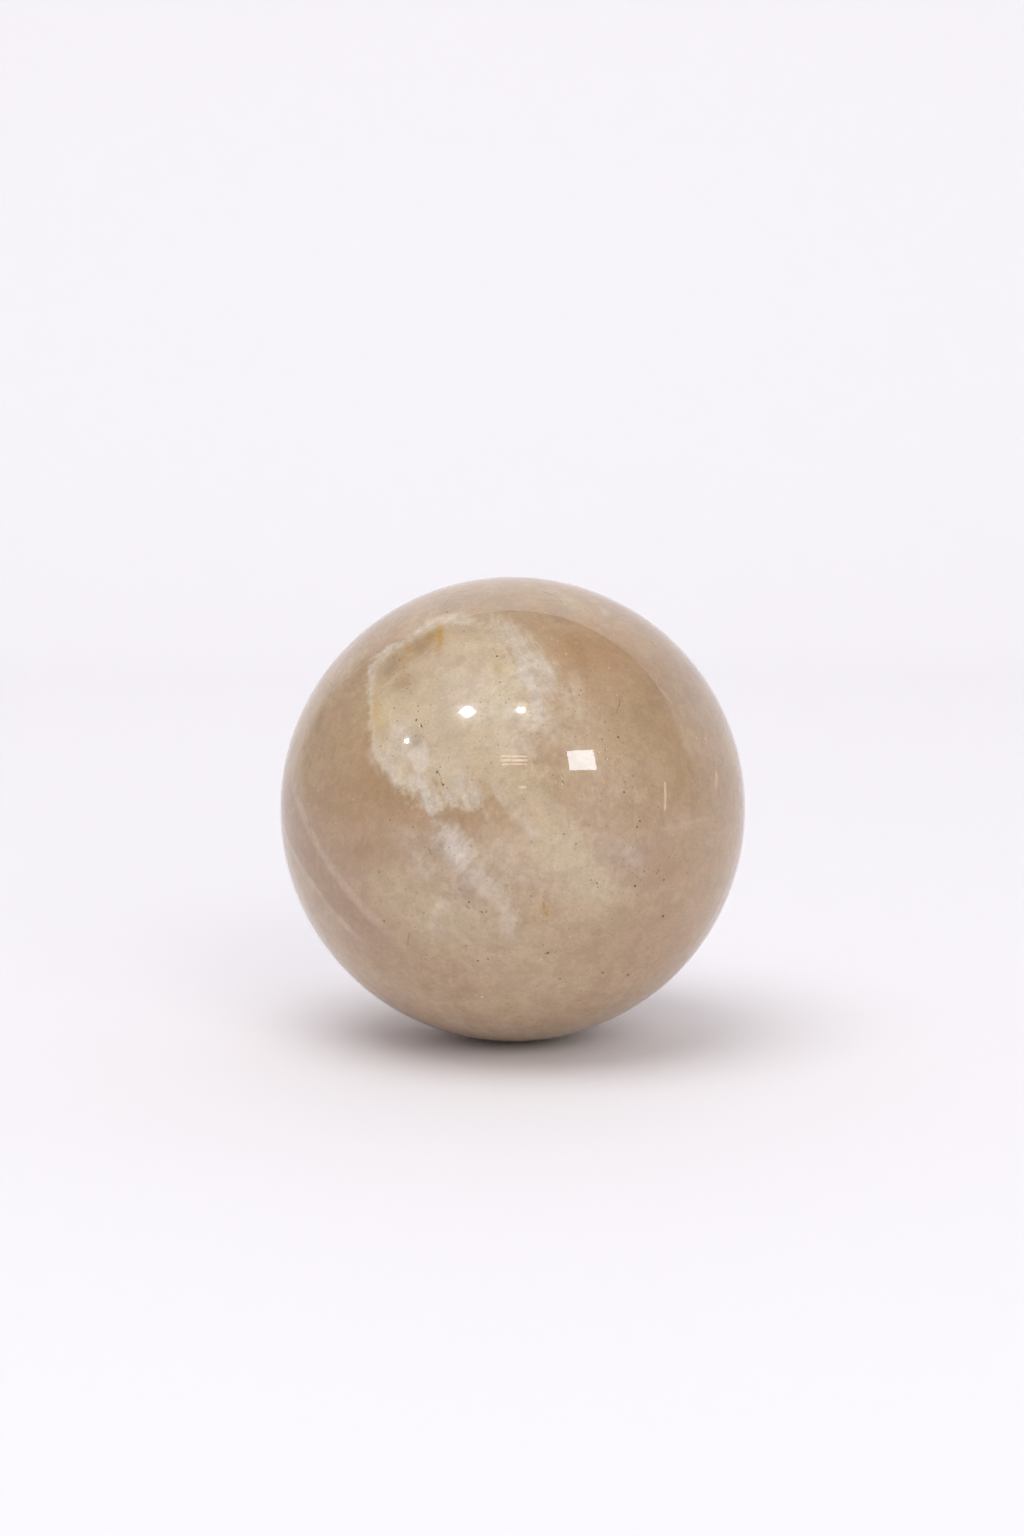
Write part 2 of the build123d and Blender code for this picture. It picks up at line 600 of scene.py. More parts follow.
# Each veil: the ball's turn in degrees that brings it to the front, its strength, the pixel that its fibres
# fan out from, and its outline
VEILS = [
    (0, 0.62, (440, 500), [
        (494, 619), (500, 618), (506, 624), (515, 629), (524, 632), (531, 640), (538, 650), (546, 659),
        (552, 664), (555, 671), (556, 680), (553, 690), (550, 698), (546, 696), (543, 702), (541, 714),
        (542, 727), (539, 722), (536, 714), (532, 700), (526, 685), (519, 668), (512, 653), (504, 641),
        (499, 631)]),
    (0, 0.2, (440, 500), [
        (476, 621), (486, 615), (499, 616), (503, 630), (508, 648), (511, 658), (504, 652), (497, 638),
        (486, 627)]),
    (0, 0.3, (440, 500), [(562, 684), (568, 690), (571, 706), (568, 712), (563, 700)]),
    (0, 0.42, (530, 1010), [
        (372, 740), (370, 750), (373, 761), (379, 769), (385, 775), (391, 780), (397, 783),
        (399, 775), (397, 767), (394, 762), (387, 757), (381, 751), (377, 743)]),
    (0, 0.78, (530, 1010), [
        (410, 783), (413, 789), (417, 797), (422, 805), (429, 812), (436, 812), (439, 806), (438, 797),
        (434, 790), (430, 786), (424, 781), (416, 777), (410, 776)]),
    (0, 0.4, (530, 1010), [
        (440, 790), (447, 788), (453, 790), (458, 798), (460, 806), (452, 804), (446, 800), (441, 796)]),
    (0, 0.62, (530, 1010), [
        (456, 773), (460, 777), (465, 788), (469, 800), (468, 809), (463, 803), (459, 793), (456, 783)]),
    (0, 0.6, (530, 1010), [(469, 779), (473, 785), (476, 794), (477, 803), (473, 801), (470, 791)]),
    (0, 0.35, (330, 520), [
        (496, 785), (501, 786), (514, 806), (534, 834), (531, 837), (512, 814), (500, 798)]),
    (0, 0.25, (540, 591), [(573, 674), (578, 680), (582, 700), (584, 716), (579, 714), (575, 694)]),
    (0, 0.68, (640, 600), [
        (436, 822), (447, 825), (456, 829), (463, 835), (469, 841), (474, 849), (473, 859), (469, 867),
        (466, 873), (463, 879), (459, 871), (452, 861), (449, 852), (444, 843), (439, 838), (443, 830)]),
    (0, 0.5, (640, 600), [
        (472, 866), (480, 866), (489, 873), (497, 882), (497, 892), (488, 896), (478, 894), (472, 885),
        (467, 876)]),
    (0, 0.34, (640, 600), [
        (498, 898), (508, 903), (515, 913), (517, 931), (509, 933), (503, 922), (496, 908)]),
    (0, 0.17, (500, 870), [
        (668, 828), (680, 822), (694, 819), (704, 818), (705, 822), (692, 825), (680, 828)]),
    (0, 0.12, (700, 700), [
        (626, 846), (634, 850), (640, 862), (642, 874), (634, 872), (628, 862), (624, 854)]),
    (0, 0.2, (560, 700), [(408, 850), (420, 852), (430, 866), (428, 880), (416, 872), (410, 862)]),
    (180, 0.32, (380, 560), [
        (430, 668), (446, 660), (470, 672), (500, 700), (528, 736), (545, 775), (538, 790), (520, 768),
        (496, 742), (468, 716), (442, 694)]),
    (180, 0.28, (700, 700), [
        (470, 850), (498, 846), (530, 858), (540, 872), (520, 880), (492, 874), (472, 866)]),
    (105, 0.3, (620, 540), [
        (500, 700), (520, 706), (512, 735), (490, 770), (466, 792), (460, 782), (478, 748)]),
    (255, 0.3, (430, 560), [
        (540, 720), (556, 716), (580, 750), (596, 790), (588, 800), (566, 776), (548, 748)]),
]

# Forms with an edge of their own: colour, softness of the edge in pixels, strength, outline
FORMS = {
    "wedge": ((174, 145, 115), 1.4, 0.85, [
        (428, 812), (440, 811), (450, 807), (460, 810), (470, 812), (480, 808), (484, 812), (479, 821),
        (474, 827), (466, 827), (458, 823), (448, 823), (436, 821)]),
    "lobe": ((192, 171, 144), 2.0, 0.7, [
        (450, 900), (470, 898), (490, 908), (500, 925), (492, 945), (470, 955), (448, 948), (434, 938),
        (431, 928), (434, 916), (440, 906)]),
    "drift": ((199, 180, 152), 4.0, 0.45, [
        (503, 786), (513, 800), (528, 819), (543, 841), (556, 866), (575, 890), (600, 905), (614, 900),
        (608, 876), (592, 850), (577, 825), (556, 800), (535, 784), (516, 778)]),
    "pebble": ((222, 208, 189), 2.2, 0.8, [
        (411, 759), (413, 750), (418, 744), (424, 741), (428, 744), (430, 752), (429, 762), (425, 771),
        (419, 775), (414, 770)]),
    # A painted shadow: a dark grey shape beside the pale pebble
    "painted_shadow": ((181, 162, 145), 1.5, 0.6, [
        (412, 741), (416, 737), (421, 733), (424, 736), (421, 742), (416, 746), (413, 745)]),
    "crescent": ((206, 188, 165), 1.3, 0.5, [
        (490, 805), (493, 809), (490, 816), (486, 821), (480, 824), (484, 818), (488, 811)]),
    "haze": ((190, 171, 154), 8.0, 0.25, [
        (392, 832), (408, 830), (424, 846), (434, 862), (446, 874), (456, 886), (448, 892), (430, 882),
        (414, 866), (400, 850)]),
}

# Growth lines low on the left, each a flat plane through three pixels
GROWTH_LINES = {
    "growth_inner": [(293, 780), (324, 856.5), (375.7, 921)],
    "growth_outer": [(290, 846), (314.5, 887), (351, 931.5)],
}

# Dark specks: half width in pixels, then the pixels of those specks
SPECKS = {
    2.6: [(548, 953), (628, 975), (635, 886), (560, 979), (663, 916)],
    2.0: [
        (497, 656), (416, 720), (421, 726), (437, 772), (443, 785), (618, 737), (624, 792), (390, 820),
        (469, 902), (384, 921), (466, 946), (478, 961), (640, 821), (637, 827), (664, 880), (597, 883),
        (603, 973), (447, 612), (687, 873), (482, 912), (488, 959),
    ],
    1.5: [
        (558, 782), (563, 783), (425, 847), (431, 854), (427, 722), (409, 621), (379, 636), (374, 650),
        (378, 652), (400, 660), (404, 667), (363, 688), (409, 675), (410, 684), (411, 693), (418, 706),
        (418, 711), (394, 708), (397, 721), (381, 746), (342, 745), (310, 765), (464, 631), (466, 627),
        (464, 645), (500, 682), (509, 699), (440, 767), (441, 779), (447, 788), (491, 763), (498, 745),
        (498, 755), (595, 667), (565, 686), (570, 691), (581, 690), (579, 695), (614, 728), (602, 739),
        (605, 744), (606, 759), (610, 765), (633, 776), (553, 775), (674, 798), (658, 807), (649, 688),
        (699, 676), (714, 717), (543, 725), (405, 813), (394, 831), (413, 827), (418, 837), (422, 841),
        (429, 850), (442, 870), (453, 882), (460, 890), (475, 909), (487, 911), (379, 872), (415, 927),
        (424, 913), (427, 955), (434, 958), (465, 970), (454, 977), (639, 817), (564, 834), (576, 844),
        (589, 825), (693, 849), (676, 855), (669, 857), (591, 880), (627, 885), (641, 880), (637, 877),
        (659, 871), (653, 872), (528, 890), (531, 896), (517, 924), (543, 945), (539, 947), (552, 952),
        (623, 972), (566, 982), (628, 944), (508, 1004),
    ],
}
SPECK_DARKNESS = {2.6: 0.95, 2.0: 0.85, 1.5: 0.65}

# Hair cracks, ochre threads and light scratches: strength, half width in pixels, then the pixels along each
THREADS = {
    "dark": [
        (0.6, 1.0, [(444.6, 606), (450, 596), (454.7, 593)]),
        (0.6, 0.9, [(456, 592), (468, 590), (481, 587.5)]), (0.6, 1.1, [(325, 679), (329, 682), (333, 687)]),
        (0.6, 0.8, [(620, 700), (619, 706), (616, 713)]),
        (0.6, 0.9, [(421, 724), (423, 730)]), (0.6, 0.9, [(437, 770), (440, 776)]),
        (0.6, 0.9, [(441, 782), (444, 787)]), (0.6, 0.8, [(426, 846), (429, 849), (431, 854)]),
        (0.6, 1.0, [(543, 591), (550, 595), (557, 593)]), (0.6, 0.8, [(557, 597), (562, 603)]),
        (0.18, 0.7, [
            (418, 837), (425, 847), (431, 854), (442, 870), (453, 882), (469, 902), (482, 912), (487, 911)]),
        (0.18, 0.7, [(452, 820), (462, 823), (470, 826)]), (0.18, 0.7, [(527, 838), (540, 850)]),
        (0.18, 0.7, [(590, 880), (599, 884)]),
    ],
    "rust": [
        (0.35, 1.0, [(559, 589), (570, 592), (582, 596)]), (0.3, 0.8, [(530, 603), (536, 613)]),
        (0.8, 1.5, [(409.5, 934), (407.5, 945)]), (0.7, 2.2, [(543.5, 904), (544.5, 908)]),
        (0.7, 2.0, [(546, 913), (547, 915)]), (0.25, 0.8, [(497, 920), (490, 932), (484, 948)]),
    ],
    "light": [
        (0.1, 1.8, [(659, 688), (665, 694), (672, 703)]), (0.2, 0.9, [(365, 836), (366, 841), (363.5, 845)]),
    ],
}

# Clusters of fine specks: x, y, half width, half height, count
PEPPER = [
    (626, 868, 18, 9, 14), (656, 872, 14, 7, 10), (597, 882, 9, 4, 5), (546, 948, 10, 6, 9),
    (437, 848, 14, 9, 8), (470, 905, 12, 8, 6), (610, 740, 16, 14, 8), (405, 690, 14, 16, 8),
    (580, 690, 16, 10, 6), (560, 780, 14, 9, 6), (640, 790, 18, 12, 7), (430, 955, 16, 8, 6),
]

# Small white painted glints, highlights painted into the stone's colour: half width in pixels, then their
# pixels
PAINTED_GLINTS = {
    1.7: [(482, 997)],
    1.0: [
        (476, 995), (512, 951), (500, 956), (508, 899), (543.5, 627), (552, 639), (558, 641), (576, 643),
        (559, 656), (566, 654), (608, 626), (614, 634), (629, 670), (609, 668), (608, 690), (617, 695),
        (599, 708),
    ],
}
PAINTED_GLINT_STRENGTH = {1.7: 0.9, 1.0: 0.5}

# A small chip at the left edge: its pixel, its half width in pixels and its depth
CHIP = (327.5, 671.5)
CHIP_HALF_WIDTH = 6.0
CHIP_DEPTH = 0.16 * MM
PIT_DEPTH = 0.03 * MM

# Soft stains on the sides that the photograph doesn't show: how many of each, the ranges of their
# half widths and strength, and the shares of the radius over which they fade towards the front
HIDDEN_SEED = 5
# The painted outline shade has no smudges on these sides
HIDDEN_STAINS = {"pale": 9, "brown": 10, "orange": 4, "olive": 4, "lilac": 4, "mauve": 3, "painted_limb_shade": 0}
HIDDEN_SHORT = (3 * MM, 6 * MM)
HIDDEN_LONG = (6 * MM, 13 * MM)
HIDDEN_STRENGTH = (0.4, 0.9)
HIDDEN_FADE = (0, 0.3)

# How fast a smudge fades: the power of e by which it has fallen at its half width
SMUDGE_FALL = 0.7


def outline_distance(points, outline):
    """Pixels from each point to a closed outline, positive inside it."""
    outline = np.array(outline, float)
    best = np.full(len(points), np.inf)
    inside = np.zeros(len(points), bool)
    for start, end in zip(outline, np.roll(outline, -1, axis=0)):
        run = end - start
        share = np.clip(((points - start) @ run) / (run @ run), 0, 1)
        best = np.minimum(best, np.linalg.norm(points - start - share[:, None] * run, axis=1))
        crosses = (start[1] > points[:, 1]) != (end[1] > points[:, 1])
        height = run[1] if run[1] else 1
        meets = start[0] + (points[:, 1] - start[1]) / height * run[0]
        inside ^= crosses & (points[:, 0] < meets)
    return np.where(inside, best, -best)


def smudge_strength(pixels, smudges):
    """How strongly a list of soft smudges covers each pixel."""
    total = np.zeros(len(pixels))
    for x, y, half_width, half_height, strength, *turn in smudges:
        angle = math.radians(sum(turn))
        cos, sin = math.cos(angle), math.sin(angle)
        dx, dy = pixels[:, 0] - x, pixels[:, 1] - y
        along = (dx * cos + dy * sin) / half_width
        across = (dy * cos - dx * sin) / half_height
        total = np.maximum(total, strength * np.exp(-SMUDGE_FALL * (along**2 + across**2)))
    return total


def hidden_strength(points, count, random):
    """How strongly random soft smudges cover each point of the sides that aren't photographed."""
    ahead = CAMERA_PLACE / CAMERA_DISTANCE
    total = np.zeros(len(points))
    while count:
        centre, long_way = random.normal(size=(2, 3))
        centre /= np.linalg.norm(centre)
        long_way = np.cross(centre, long_way)
        long_way /= np.linalg.norm(long_way)
        half_long, half_short = random.uniform(*HIDDEN_LONG), random.uniform(*HIDDEN_SHORT)
        strength = random.uniform(*HIDDEN_STRENGTH)
        if centre @ ahead > 0:
            continue
        along = points @ long_way / half_long
        across = points @ np.cross(centre, long_way) / half_short
        near = smooth_step(*HIDDEN_FADE, points @ centre / RADIUS)
        total = np.maximum(total, near * strength * np.exp(-SMUDGE_FALL * (along**2 + across**2)))
        count -= 1
    return total * (1 - smooth_step(*HIDDEN_FADE, points @ ahead / RADIUS))


# Ball mesh

SCATTER_SEED = 11
# How far a speck's size and darkness vary, and the half widths and darkness of fine specks
SIZE_SPREAD = (0.75, 1.1)
DARKNESS_SPREAD = (0.8, 1)
FINE_SPECKS = (0.9, 1.2, 1.5)
FINE_DARKNESS = (0.3, 0.7)
# Specks scattered where the surface turns from the camera by more than this cosine
SCATTER_COUNT = 70
SCATTER_FACING = -0.05
SPECK_SIZES = (1.5, 1.5, 2.0, 2.6)

# Squares are finer up to this many pixels from an outline, and this share of a square from a mark
OUTLINE_MARGIN = 8
MARK_MARGIN = 0.8
# A mark's full depth and its edge, as shares of its half width
MARK_EDGE = (0.2, 1.0)
# The part of its place in the surface maps that each patch takes up
MAP_FILL = 0.98


def thread(half_width, line):
    """Dots close together along a line of pixels: direction from the centre, and half width in metres."""
    dots = []
    for (x0, y0), (x1, y1) in zip(line, line[1:]):
        steps = math.ceil(math.hypot(x1 - x0, y1 - y0) / half_width)
        for step in range(steps + 1):
            share = step / steps
            dots.append((on_ball(x0 + share * (x1 - x0), y0 + share * (y1 - y0)), half_width * PIXEL))
    return dots


def mark_dots():
    """Every small mark as dots: its kind, direction from the centre, half width in metres, strength."""
    dots = []
    random = np.random.default_rng(SCATTER_SEED)
    for half_width, places in SPECKS.items():
        for x, y in places:
            size = half_width * random.uniform(*SIZE_SPREAD)
            darkness = SPECK_DARKNESS[half_width] * random.uniform(*DARKNESS_SPREAD)
            dots.append(("dark", on_ball(x, y), size * PIXEL, darkness))
    for kind, lines in THREADS.items():
        for strength, half_width, line in lines:
            dots += [(kind, place, size, strength) for place, size in thread(half_width, line)]
    for half_width, places in PAINTED_GLINTS.items():
        dots += [("light", on_ball(x, y), half_width * PIXEL, PAINTED_GLINT_STRENGTH[half_width]) for x, y in places]
    for x, y, half_width, half_height, count in PEPPER:
        for _ in range(count):
            place = on_ball(x + half_width * random.normal() / 2, y + half_height * random.normal() / 2)
            dots.append(("dark", place, random.choice(FINE_SPECKS) * PIXEL, random.uniform(*FINE_DARKNESS)))
    for _ in range(SCATTER_COUNT):
        place = random.normal(size=3)
        place /= np.linalg.norm(place)
        half_width = random.choice(SPECK_SIZES)
        if place @ CAMERA_PLACE / CAMERA_DISTANCE < SCATTER_FACING:
            dots.append(("dark", place, half_width * PIXEL, SPECK_DARKNESS[half_width]))
    return dots


def point_tree(points):
    """A search tree of points."""
    tree = KDTree(len(points))
    for index, point in enumerate(points):
        tree.insert(point, index)
    tree.balance()
    return tree


def refine(draft, wanted):
    """Cuts each face that is wanted into four, and sets every corner back on the ball."""
    centres = np.array([face.calc_center_median() for face in draft.faces])
    for face, tag in zip(draft.faces, wanted(centres)):
        face.tag = bool(tag)
    edges = [edge for edge in draft.edges if any(face.tag for face in edge.link_faces)]
    bmesh.ops.subdivide_edges(draft, edges=edges, cuts=1, use_grid_fill=True)
    for vert in draft.verts:
        vert.co = RADIUS * vert.co.normalized()


def lay_flat(draft):
    """Lays the six patches out side by side, for surface maps."""
    layer = draft.loops.layers.uv.new("OFBake")
    for face in draft.faces:
        centre = face.calc_center_median()
        axis = max(range(3), key=lambda axis: abs(centre[axis]))
        sign = 1 if centre[axis] > 0 else -1
        column, row = axis, (sign + 1) // 2
        for loop in face.loops:
            place = loop.vert.co
            across = sign * math.atan2(place[(axis + 1) % 3], abs(place[axis])) * 4 / math.pi
            up = math.atan2(place[(axis + 2) % 3], abs(place[axis])) * 4 / math.pi
            loop[layer].uv = ((column + 0.5 + MAP_FILL * across / 2) / 3, (row + 0.5 + MAP_FILL * up / 2) / 2)


def build_ball(dots):
    """The ball's surface as six patches of squares, finer at the inclusion and at each small mark."""
    draft = bmesh.new()
    bmesh.ops.create_cube(draft, size=2)
    bmesh.ops.subdivide_edges(draft, edges=draft.edges[:], cuts=PATCH_SQUARES - 1, use_grid_fill=True)
    for vert in draft.verts:
        even = [math.tan(value * math.pi / 4) for value in vert.co]
        vert.co = RADIUS * Vector(even).normalized()

    def detailed(centres):
        wanted = np.zeros(len(centres), bool)
        for turn, outline in [(0, PATCH_OUTLINE), *((turn, outline) for turn, _, _, outline in VEILS)]:
            pixels, front = seen_from(centres, math.radians(turn))
            wanted |= (outline_distance(pixels, outline) > -OUTLINE_MARGIN) & (front == 1)
        return wanted

    refine(draft, detailed)
    tree = point_tree([RADIUS * place for _, place, _, _ in dots])
    for fine in range(FINE_ROUNDS):
        margin = MARK_MARGIN * SQUARE / 2**fine

        def marked(centres):
            found = (tree.find(centre) for centre in centres)
            return [distance < dots[index][2] + margin for _, index, distance in found]

        refine(draft, marked)
    lay_flat(draft)
    mesh = bpy.data.meshes.new("polished_stone")
    draft.to_mesh(mesh)
    draft.free()
    for face in mesh.polygons:
        face.use_smooth = True
    return mesh


def press_marks(points, dots):
    """Sinks each dark mark a little, and gives each point's share of dark, rust and light marks; the light
    ones are pale scratches and painted glints.
    """
    shares = {kind: np.zeros(len(points)) for kind in ("dark", "rust", "light")}
    depth = np.zeros(len(points))
    tree = point_tree(points)
    for kind, place, half_width, strength in dots:
        for _, index, distance in tree.find_range(RADIUS * place, half_width):
            cover = strength * (1 - smooth_step(*MARK_EDGE, distance / half_width))
            shares[kind][index] = max(shares[kind][index], cover)
            if kind == "dark":
                depth[index] = max(depth[index], PIT_DEPTH * cover)
    chip_half_width = CHIP_HALF_WIDTH * PIXEL
    for _, index, distance in tree.find_range(RADIUS * on_ball(*CHIP), chip_half_width):
        cover = 1 - smooth_step(*MARK_EDGE, distance / chip_half_width)
        depth[index] = max(depth[index], CHIP_DEPTH * cover)
    points *= (1 - depth / RADIUS)[:, None]
    return shares


# Ramps of pixels, from none to all: where the inclusion's edge is diffuse, where its pale rim shows,
# and where the growth lines show
DIFFUSE_RIGHT = (470, 530)
DIFFUSE_BELOW = (600, 640)
DIFFUSE_LOW = (770, 800)
RIM_LEFT = (520, 440)
RIM_ABOVE = (760, 700)
GROWTH_LEFT = (420, 360)
GROWTH_BELOW = (765, 810)
GROWTH_ABOVE = (965, 920)
# How many times wider a diffuse edge gets
DIFFUSION = 9
# A distance well outside any outline, in pixels
FAR = -60.0
# Veils blend over this many pixels, and the fibres of each lie in a layer of their own
VEIL_BLEND = 5
LAYER_GAP = 50
# A weight that only keeps a division from failing, and the least share of the radius that counts as a dent
NO_WEIGHT = 1e-9
LEAST_DENT = 1e-7


def mark_ball(mesh, dots):
    """Writes each marking's strength to the mesh's points, and presses the small marks in."""
    points = np.empty(3 * len(mesh.vertices))
    mesh.vertices.foreach_get("co", points)
    points = points.reshape(-1, 3)

    def write(name, values):
        mesh.attributes.new(name, "FLOAT", "POINT").data.foreach_set("value", values.astype(np.float32))

    pixels, front = seen_from(points, 0)
    random = np.random.default_rng(HIDDEN_SEED)
    for name, smudges in FRONT_STAINS.items():
        hidden = hidden_strength(points, HIDDEN_STAINS[name], random)
        write(name, np.maximum(front * smudge_strength(pixels, smudges), hidden))
    for name, smudges in PATCH_STAINS.items():
        write(name, front * smudge_strength(pixels, smudges))
    x_pixels, y_pixels = pixels.T
    diffuse = smooth_step(*DIFFUSE_RIGHT, x_pixels) * smooth_step(*DIFFUSE_BELOW, y_pixels)
    diffuse = np.maximum(diffuse, smooth_step(*DIFFUSE_LOW, y_pixels))
    patch = outline_distance(pixels, PATCH_OUTLINE) / (1 + DIFFUSION * diffuse)
    write("patch", front * patch + (1 - front) * FAR)
    write("rim", front * (smooth_step(*RIM_LEFT, x_pixels) * smooth_step(*RIM_ABOVE, y_pixels)))
    veil = np.full(len(points), FAR)
    milky = np.zeros(len(points))
    weight = np.full(len(points), NO_WEIGHT)
    fan = np.zeros((len(points), 3))
    for index, (turn, strength, (x, y), outline) in enumerate(VEILS):
        turned, shown = seen_from(points, math.radians(turn))
        inside = shown * outline_distance(turned, outline) + (1 - shown) * FAR
        share = np.exp(np.clip(inside, FAR, 0) / VEIL_BLEND)
        milky += strength * share
        weight += share
        best = inside > veil
        veil[best] = inside[best]
        across, along = turned[best, 0] - x, turned[best, 1] - y
        reach = math.hypot(*np.mean(np.array(outline) - (x, y), axis=0))
        layer = np.full(best.sum(), LAYER_GAP * index)
        fan[best] = np.stack((reach * np.arctan2(across, along), np.hypot(across, along), layer), axis=1)
    write("veil", veil)
    write("milky", milky / weight)
    mesh.attributes.new("fan", "FLOAT_VECTOR", "POINT").data.foreach_set("vector", fan.ravel())
    for name, (_, softness, _, outline) in FORMS.items():
        write(name, front * outline_distance(pixels, outline) / softness + (1 - front) * FAR)
    for name, line in GROWTH_LINES.items():
        first, second, third = (RADIUS * on_ball(x, y) for x, y in line)
        normal = np.cross(second - first, third - first)
        normal *= -np.sign(normal[0]) / np.linalg.norm(normal)
        write(name, (points - first) @ normal / PIXEL)
    low_left = smooth_step(*GROWTH_LEFT, x_pixels) * smooth_step(*GROWTH_BELOW, y_pixels)
    write("growth", front * low_left * smooth_step(*GROWTH_ABOVE, y_pixels))

    for kind, share in press_marks(points, dots).items():
        write(kind, share)
    mesh.vertices.foreach_set("co", points.ravel())
    mesh.update()
    normals = np.empty(points.size)
    mesh.vertices.foreach_get("normal", normals)
    normals = normals.reshape(-1, 3)
    height = np.linalg.norm(points, axis=1)
    smooth = height >= RADIUS * (1 - LEAST_DENT)
    normals[smooth] = points[smooth] / height[smooth, None]
    mesh.normals_split_custom_set_from_vertices(normals)


# Stone material

# The stone's colours, as the photograph shows them
TONES = {
    "body_dark": (177, 148, 119), "body_light": (187, 161, 132), "mottle": (195, 172, 144),
    "between": (170, 139, 116), "beyond": (191, 166, 143), "inner": (202, 180, 160), "outer": (204, 183, 166),
    "cream_dark": (200, 180, 153), "cream_light": (212, 195, 169), "cream_cloud": (201, 181, 156),
    "rim": (208, 191, 171), "veil": (214, 203, 191), "dust": (140, 110, 86), "crumbs": (132, 103, 80),
    # On the next line, sparkle paints scattered glints, and light paints pale scratches and painted glints
    "sparkle": (220, 204, 186), "rust": (168, 128, 66), "dark": (108, 84, 66), "light": (238, 232, 226),
}
# The stone's cast wanders between these two, as shares of its colour in linear light
PINKER = (0.99, 0.99, 1.01, 1.0)
YELLOWER = (0.98, 1.0, 0.975, 1.0)
# Noises: the size of their lumps, detail, roughness, distortion
NOISES = {
    "clouds": (13 * MM, 4, 0.55, 0.4), "mottle": (2.4 * MM, 4, 0.6, 0.3), "flecks": (0.9 * MM, 3, 0.6),
    "grain": (0.3 * MM, 2, 0.5), "cream": (4 * MM, 3, 0.5, 0.6), "cast": (3.7 * MM, 4, 0.6, 0.5),
    "patches": (2.0 * MM, 4, 0.55, 0.8),
}
# Fibres of the veils: width and length in pixels, the noise that sways them, and how far
FIBRES = {"coarse": (8, 50), "fine": (2.4, 26)}
SWAY_NOISE = (3.4 * MM, 2, 0.5, 0)
SWAY = 9
# Shares that vary with noises: each noise's low and high end, and the share there if not 0 and 1
VARIES = {
    "stain": {"mottle": (0.3, 0.7, 0.7, 1.3), "flecks": (0.3, 0.7, 0.75, 1.25)},
    "body": {"clouds": (0.35, 0.65)}, "body_mottle": {"mottle": (0.35, 0.75, 0, 0.5)},
    "growth": {"mottle": (0.35, 0.6, 0.28, 0.42)},
    "cream": {"mottle": (0.35, 0.7)}, "cream_cloud": {"cream": (0.4, 0.65, 0, 0.7)},
    "rim": {"flecks": (0.35, 0.6, 0.1, 0.6)},
    "veil": {
        "coarse": (0.3, 0.65, 0.75, 1.1), "fine": (0.3, 0.65, 0.82, 1.05), "mottle": (0.35, 0.6, 0.9, 1.03),
        "flecks": (0.3, 0.6, 0.85, 1.05)},
    "cast": {"cast": (0.3, 0.7)},
    "shade": {
        "grain": (0.25, 0.75, 0.945, 1.055), "flecks": (0.25, 0.75, 0.955, 1.045),
        "patches": (0.4, 0.62, 0.955, 1.045)},
    "roughness": {"mottle": (0.3, 0.7, 0.02, 0.04)},
}
# How far noises push each mark's edge, in pixels, or in strength for the dark marks
WANDERS = {
    "growth_inner": {"mottle": 3}, "growth_outer": {"mottle": 3}, "patch": {"mottle": 9, "flecks": 7},
    "veil": {"coarse": 16, "fine": 5, "mottle": 9}, "dark": {"grain": 1.2},
}
FORM_WANDERS = {"mottle": 3}
# Edges: where each starts and ends in pixels, or in strength for the dark marks, and the share at each
EDGES = {
    "past_inner": (0, 8), "before_outer": (-8, 2, 1, 0), "beyond": (-4, 8), "patch": (-2, 3),
    "rim_outside": (-5, 0), "rim_inside": (1, 7, 1, 0), "veil": (-8, 7), "dark": (0.05, 0.9),
    "dark_start": (0, 0.2),
}
# Growth lines: the shares of the stone between and beyond them, their half widths, and the outer one's boost
BETWEEN_SHARE = 0.45
BEYOND_SHARE = 0.4
INNER_HALF_WIDTH = 8
OUTER_HALF_WIDTH = 5
OUTER_BOOST = 1.2
# Scattered dots all through the stone, the sparkle ones painted glints: spacing, and half width as a share of
# it
DOTS = {"dust": (0.7 * MM, 0.22), "crumbs": (2.1 * MM, 0.11), "sparkle": (1.1 * MM, 0.14)}
# The stone's gloss, and how light goes into it
FINISH = {
    "IOR": 1.53, "Subsurface Weight": 0.25, "Subsurface Radius": (1.0, 0.75, 0.5), "Subsurface Scale": 4 * MM,
}


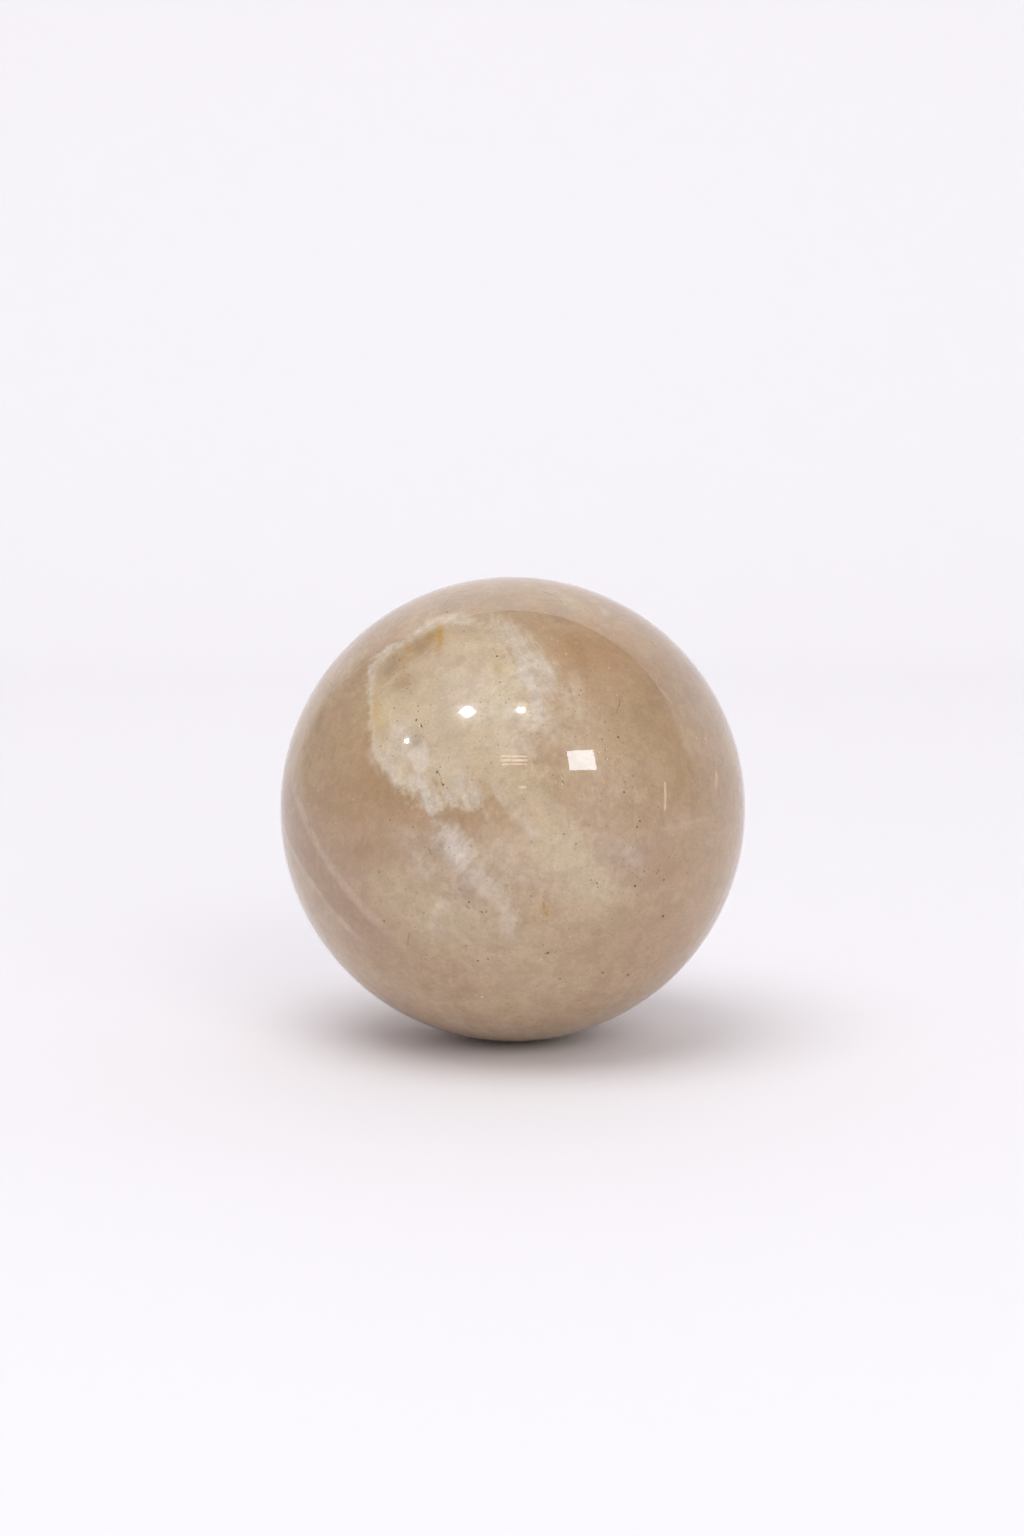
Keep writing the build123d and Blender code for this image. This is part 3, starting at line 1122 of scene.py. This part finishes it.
def stone_material():
    """Polished stone, coloured by the marks on the mesh's points and by noise, with some shade and glints
    painted in.
    """
    material = bpy.data.materials.new("cloudy_feldspar")
    web = Web(material)
    shader = web.nodes["Principled BSDF"]
    place = web.nodes.new("ShaderNodeTexCoord").outputs["Object"]
    tones = {name: linear(*colour) for name, colour in TONES.items()}
    noises = {name: web.noise(place, *settings) for name, settings in NOISES.items()}
    fan = web.wavy(web.attribute("fan", "Vector"), web.noise(place, *SWAY_NOISE, "Color"), SWAY)
    noises |= {name: web.fibres(fan, *settings) for name, settings in FIBRES.items()}

    def varied(name):
        """A share that varies with noises."""
        return web.product(*(web.rise(noises[noise], *ends) for noise, ends in VARIES[name].items()))

    def wandering(name):
        """A mark on the points, pushed to and fro by noises."""
        value = web.attribute(name)
        for noise, amount in WANDERS.get(name, FORM_WANDERS).items():
            value = web.shifted(value, noises[noise], amount)
        return value

    def edge(value, name):
        return web.rise(value, *EDGES[name])

    def stain(under, name):
        """A soft, uneven stain, or soft, uneven painted shade."""
        share = web.math("MULTIPLY", web.attribute(name), varied("stain"), clamp=True)
        return web.mix(share, under, linear(*STAIN_COLOURS[name]))

    # The body of the stone
    body = web.mix(varied("body"), tones["body_dark"], tones["body_light"])
    body = web.mix(varied("body_mottle"), body, tones["mottle"])
    # The front stains include painted shade along the top and right outline
    for name in FRONT_STAINS:
        body = stain(body, name)

    # Growth lines
    inner = wandering("growth_inner")
    outer = wandering("growth_outer")
    shown = web.attribute("growth")
    between = web.product(edge(inner, "past_inner"), edge(outer, "before_outer"), shown, BETWEEN_SHARE)
    body = web.mix(between, body, tones["between"])
    body = web.mix(web.product(edge(outer, "beyond"), shown, BEYOND_SHARE), body, tones["beyond"])
    broken = web.product(shown, varied("growth"))
    body = web.mix(web.product(web.line(inner, INNER_HALF_WIDTH), broken), body, tones["inner"])
    outer_line = web.product(web.line(outer, OUTER_HALF_WIDTH), broken, OUTER_BOOST)
    body = web.mix(outer_line, body, tones["outer"])

    # The cream inclusion, with its pale rim and stains
    patch = wandering("patch")
    cream = web.mix(varied("cream"), tones["cream_dark"], tones["cream_light"])
    cream = web.mix(varied("cream_cloud"), cream, tones["cream_cloud"])
    body = web.mix(edge(patch, "patch"), body, cream)
    # Among the forms is a painted shadow beside the pale pebble
    for name, (colour, _, strength, _) in FORMS.items():
        body = web.mix(web.rise(wandering(name), -1.0, 1.0, 0.0, strength), body, linear(*colour))
    # Some of the grey smudges among these are painted shadow
    for name in PATCH_STAINS:
        body = stain(body, name)
    rim = web.product(edge(patch, "rim_outside"), edge(patch, "rim_inside"), web.attribute("rim"))
    body = web.mix(web.product(rim, varied("rim")), body, tones["rim"])

    # White veils that hang in fibres
    veil = web.product(edge(wandering("veil"), "veil"), varied("veil"), web.attribute("milky"))
    body = web.mix(veil, body, tones["veil"])

    # Specks, cracks, and painted glints
    for name, (spacing, size) in DOTS.items():
        body = web.mix(web.dots(place, spacing, size), body, tones[name])
    body = web.mix(web.attribute("rust"), body, tones["rust"])
    dark = web.product(edge(wandering("dark"), "dark"), edge(web.attribute("dark"), "dark_start"))
    body = web.mix(dark, body, tones["dark"])
    # Pale scratches, and glints painted into the stone's colour as highlights
    body = web.mix(web.attribute("light"), body, tones["light"])

    # A wandering cast, and fine mottling and grain all over
    body = web.vector("MULTIPLY", body, web.mix(varied("cast"), PINKER, YELLOWER))
    web.put(shader.inputs["Base Color"], web.vector("MULTIPLY", body, varied("shade")))
    web.put(shader.inputs["Roughness"], varied("roughness"))
    for name, value in FINISH.items():
        shader.inputs[name].default_value = value
    return material


def make_ball():
    """The ball with its markings, which stands for the plain one."""
    dots = mark_dots()
    mesh = build_ball(dots)
    mark_ball(mesh, dots)
    mesh.materials.append(stone_material())
    ball = bpy.data.objects.new("polished_stone", mesh)
    bpy.context.collection.objects.link(ball)
    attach(ball, "root")
    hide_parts("stone_ball")


make_ball()

bpy.context.scene.view_settings.view_transform = "Standard"
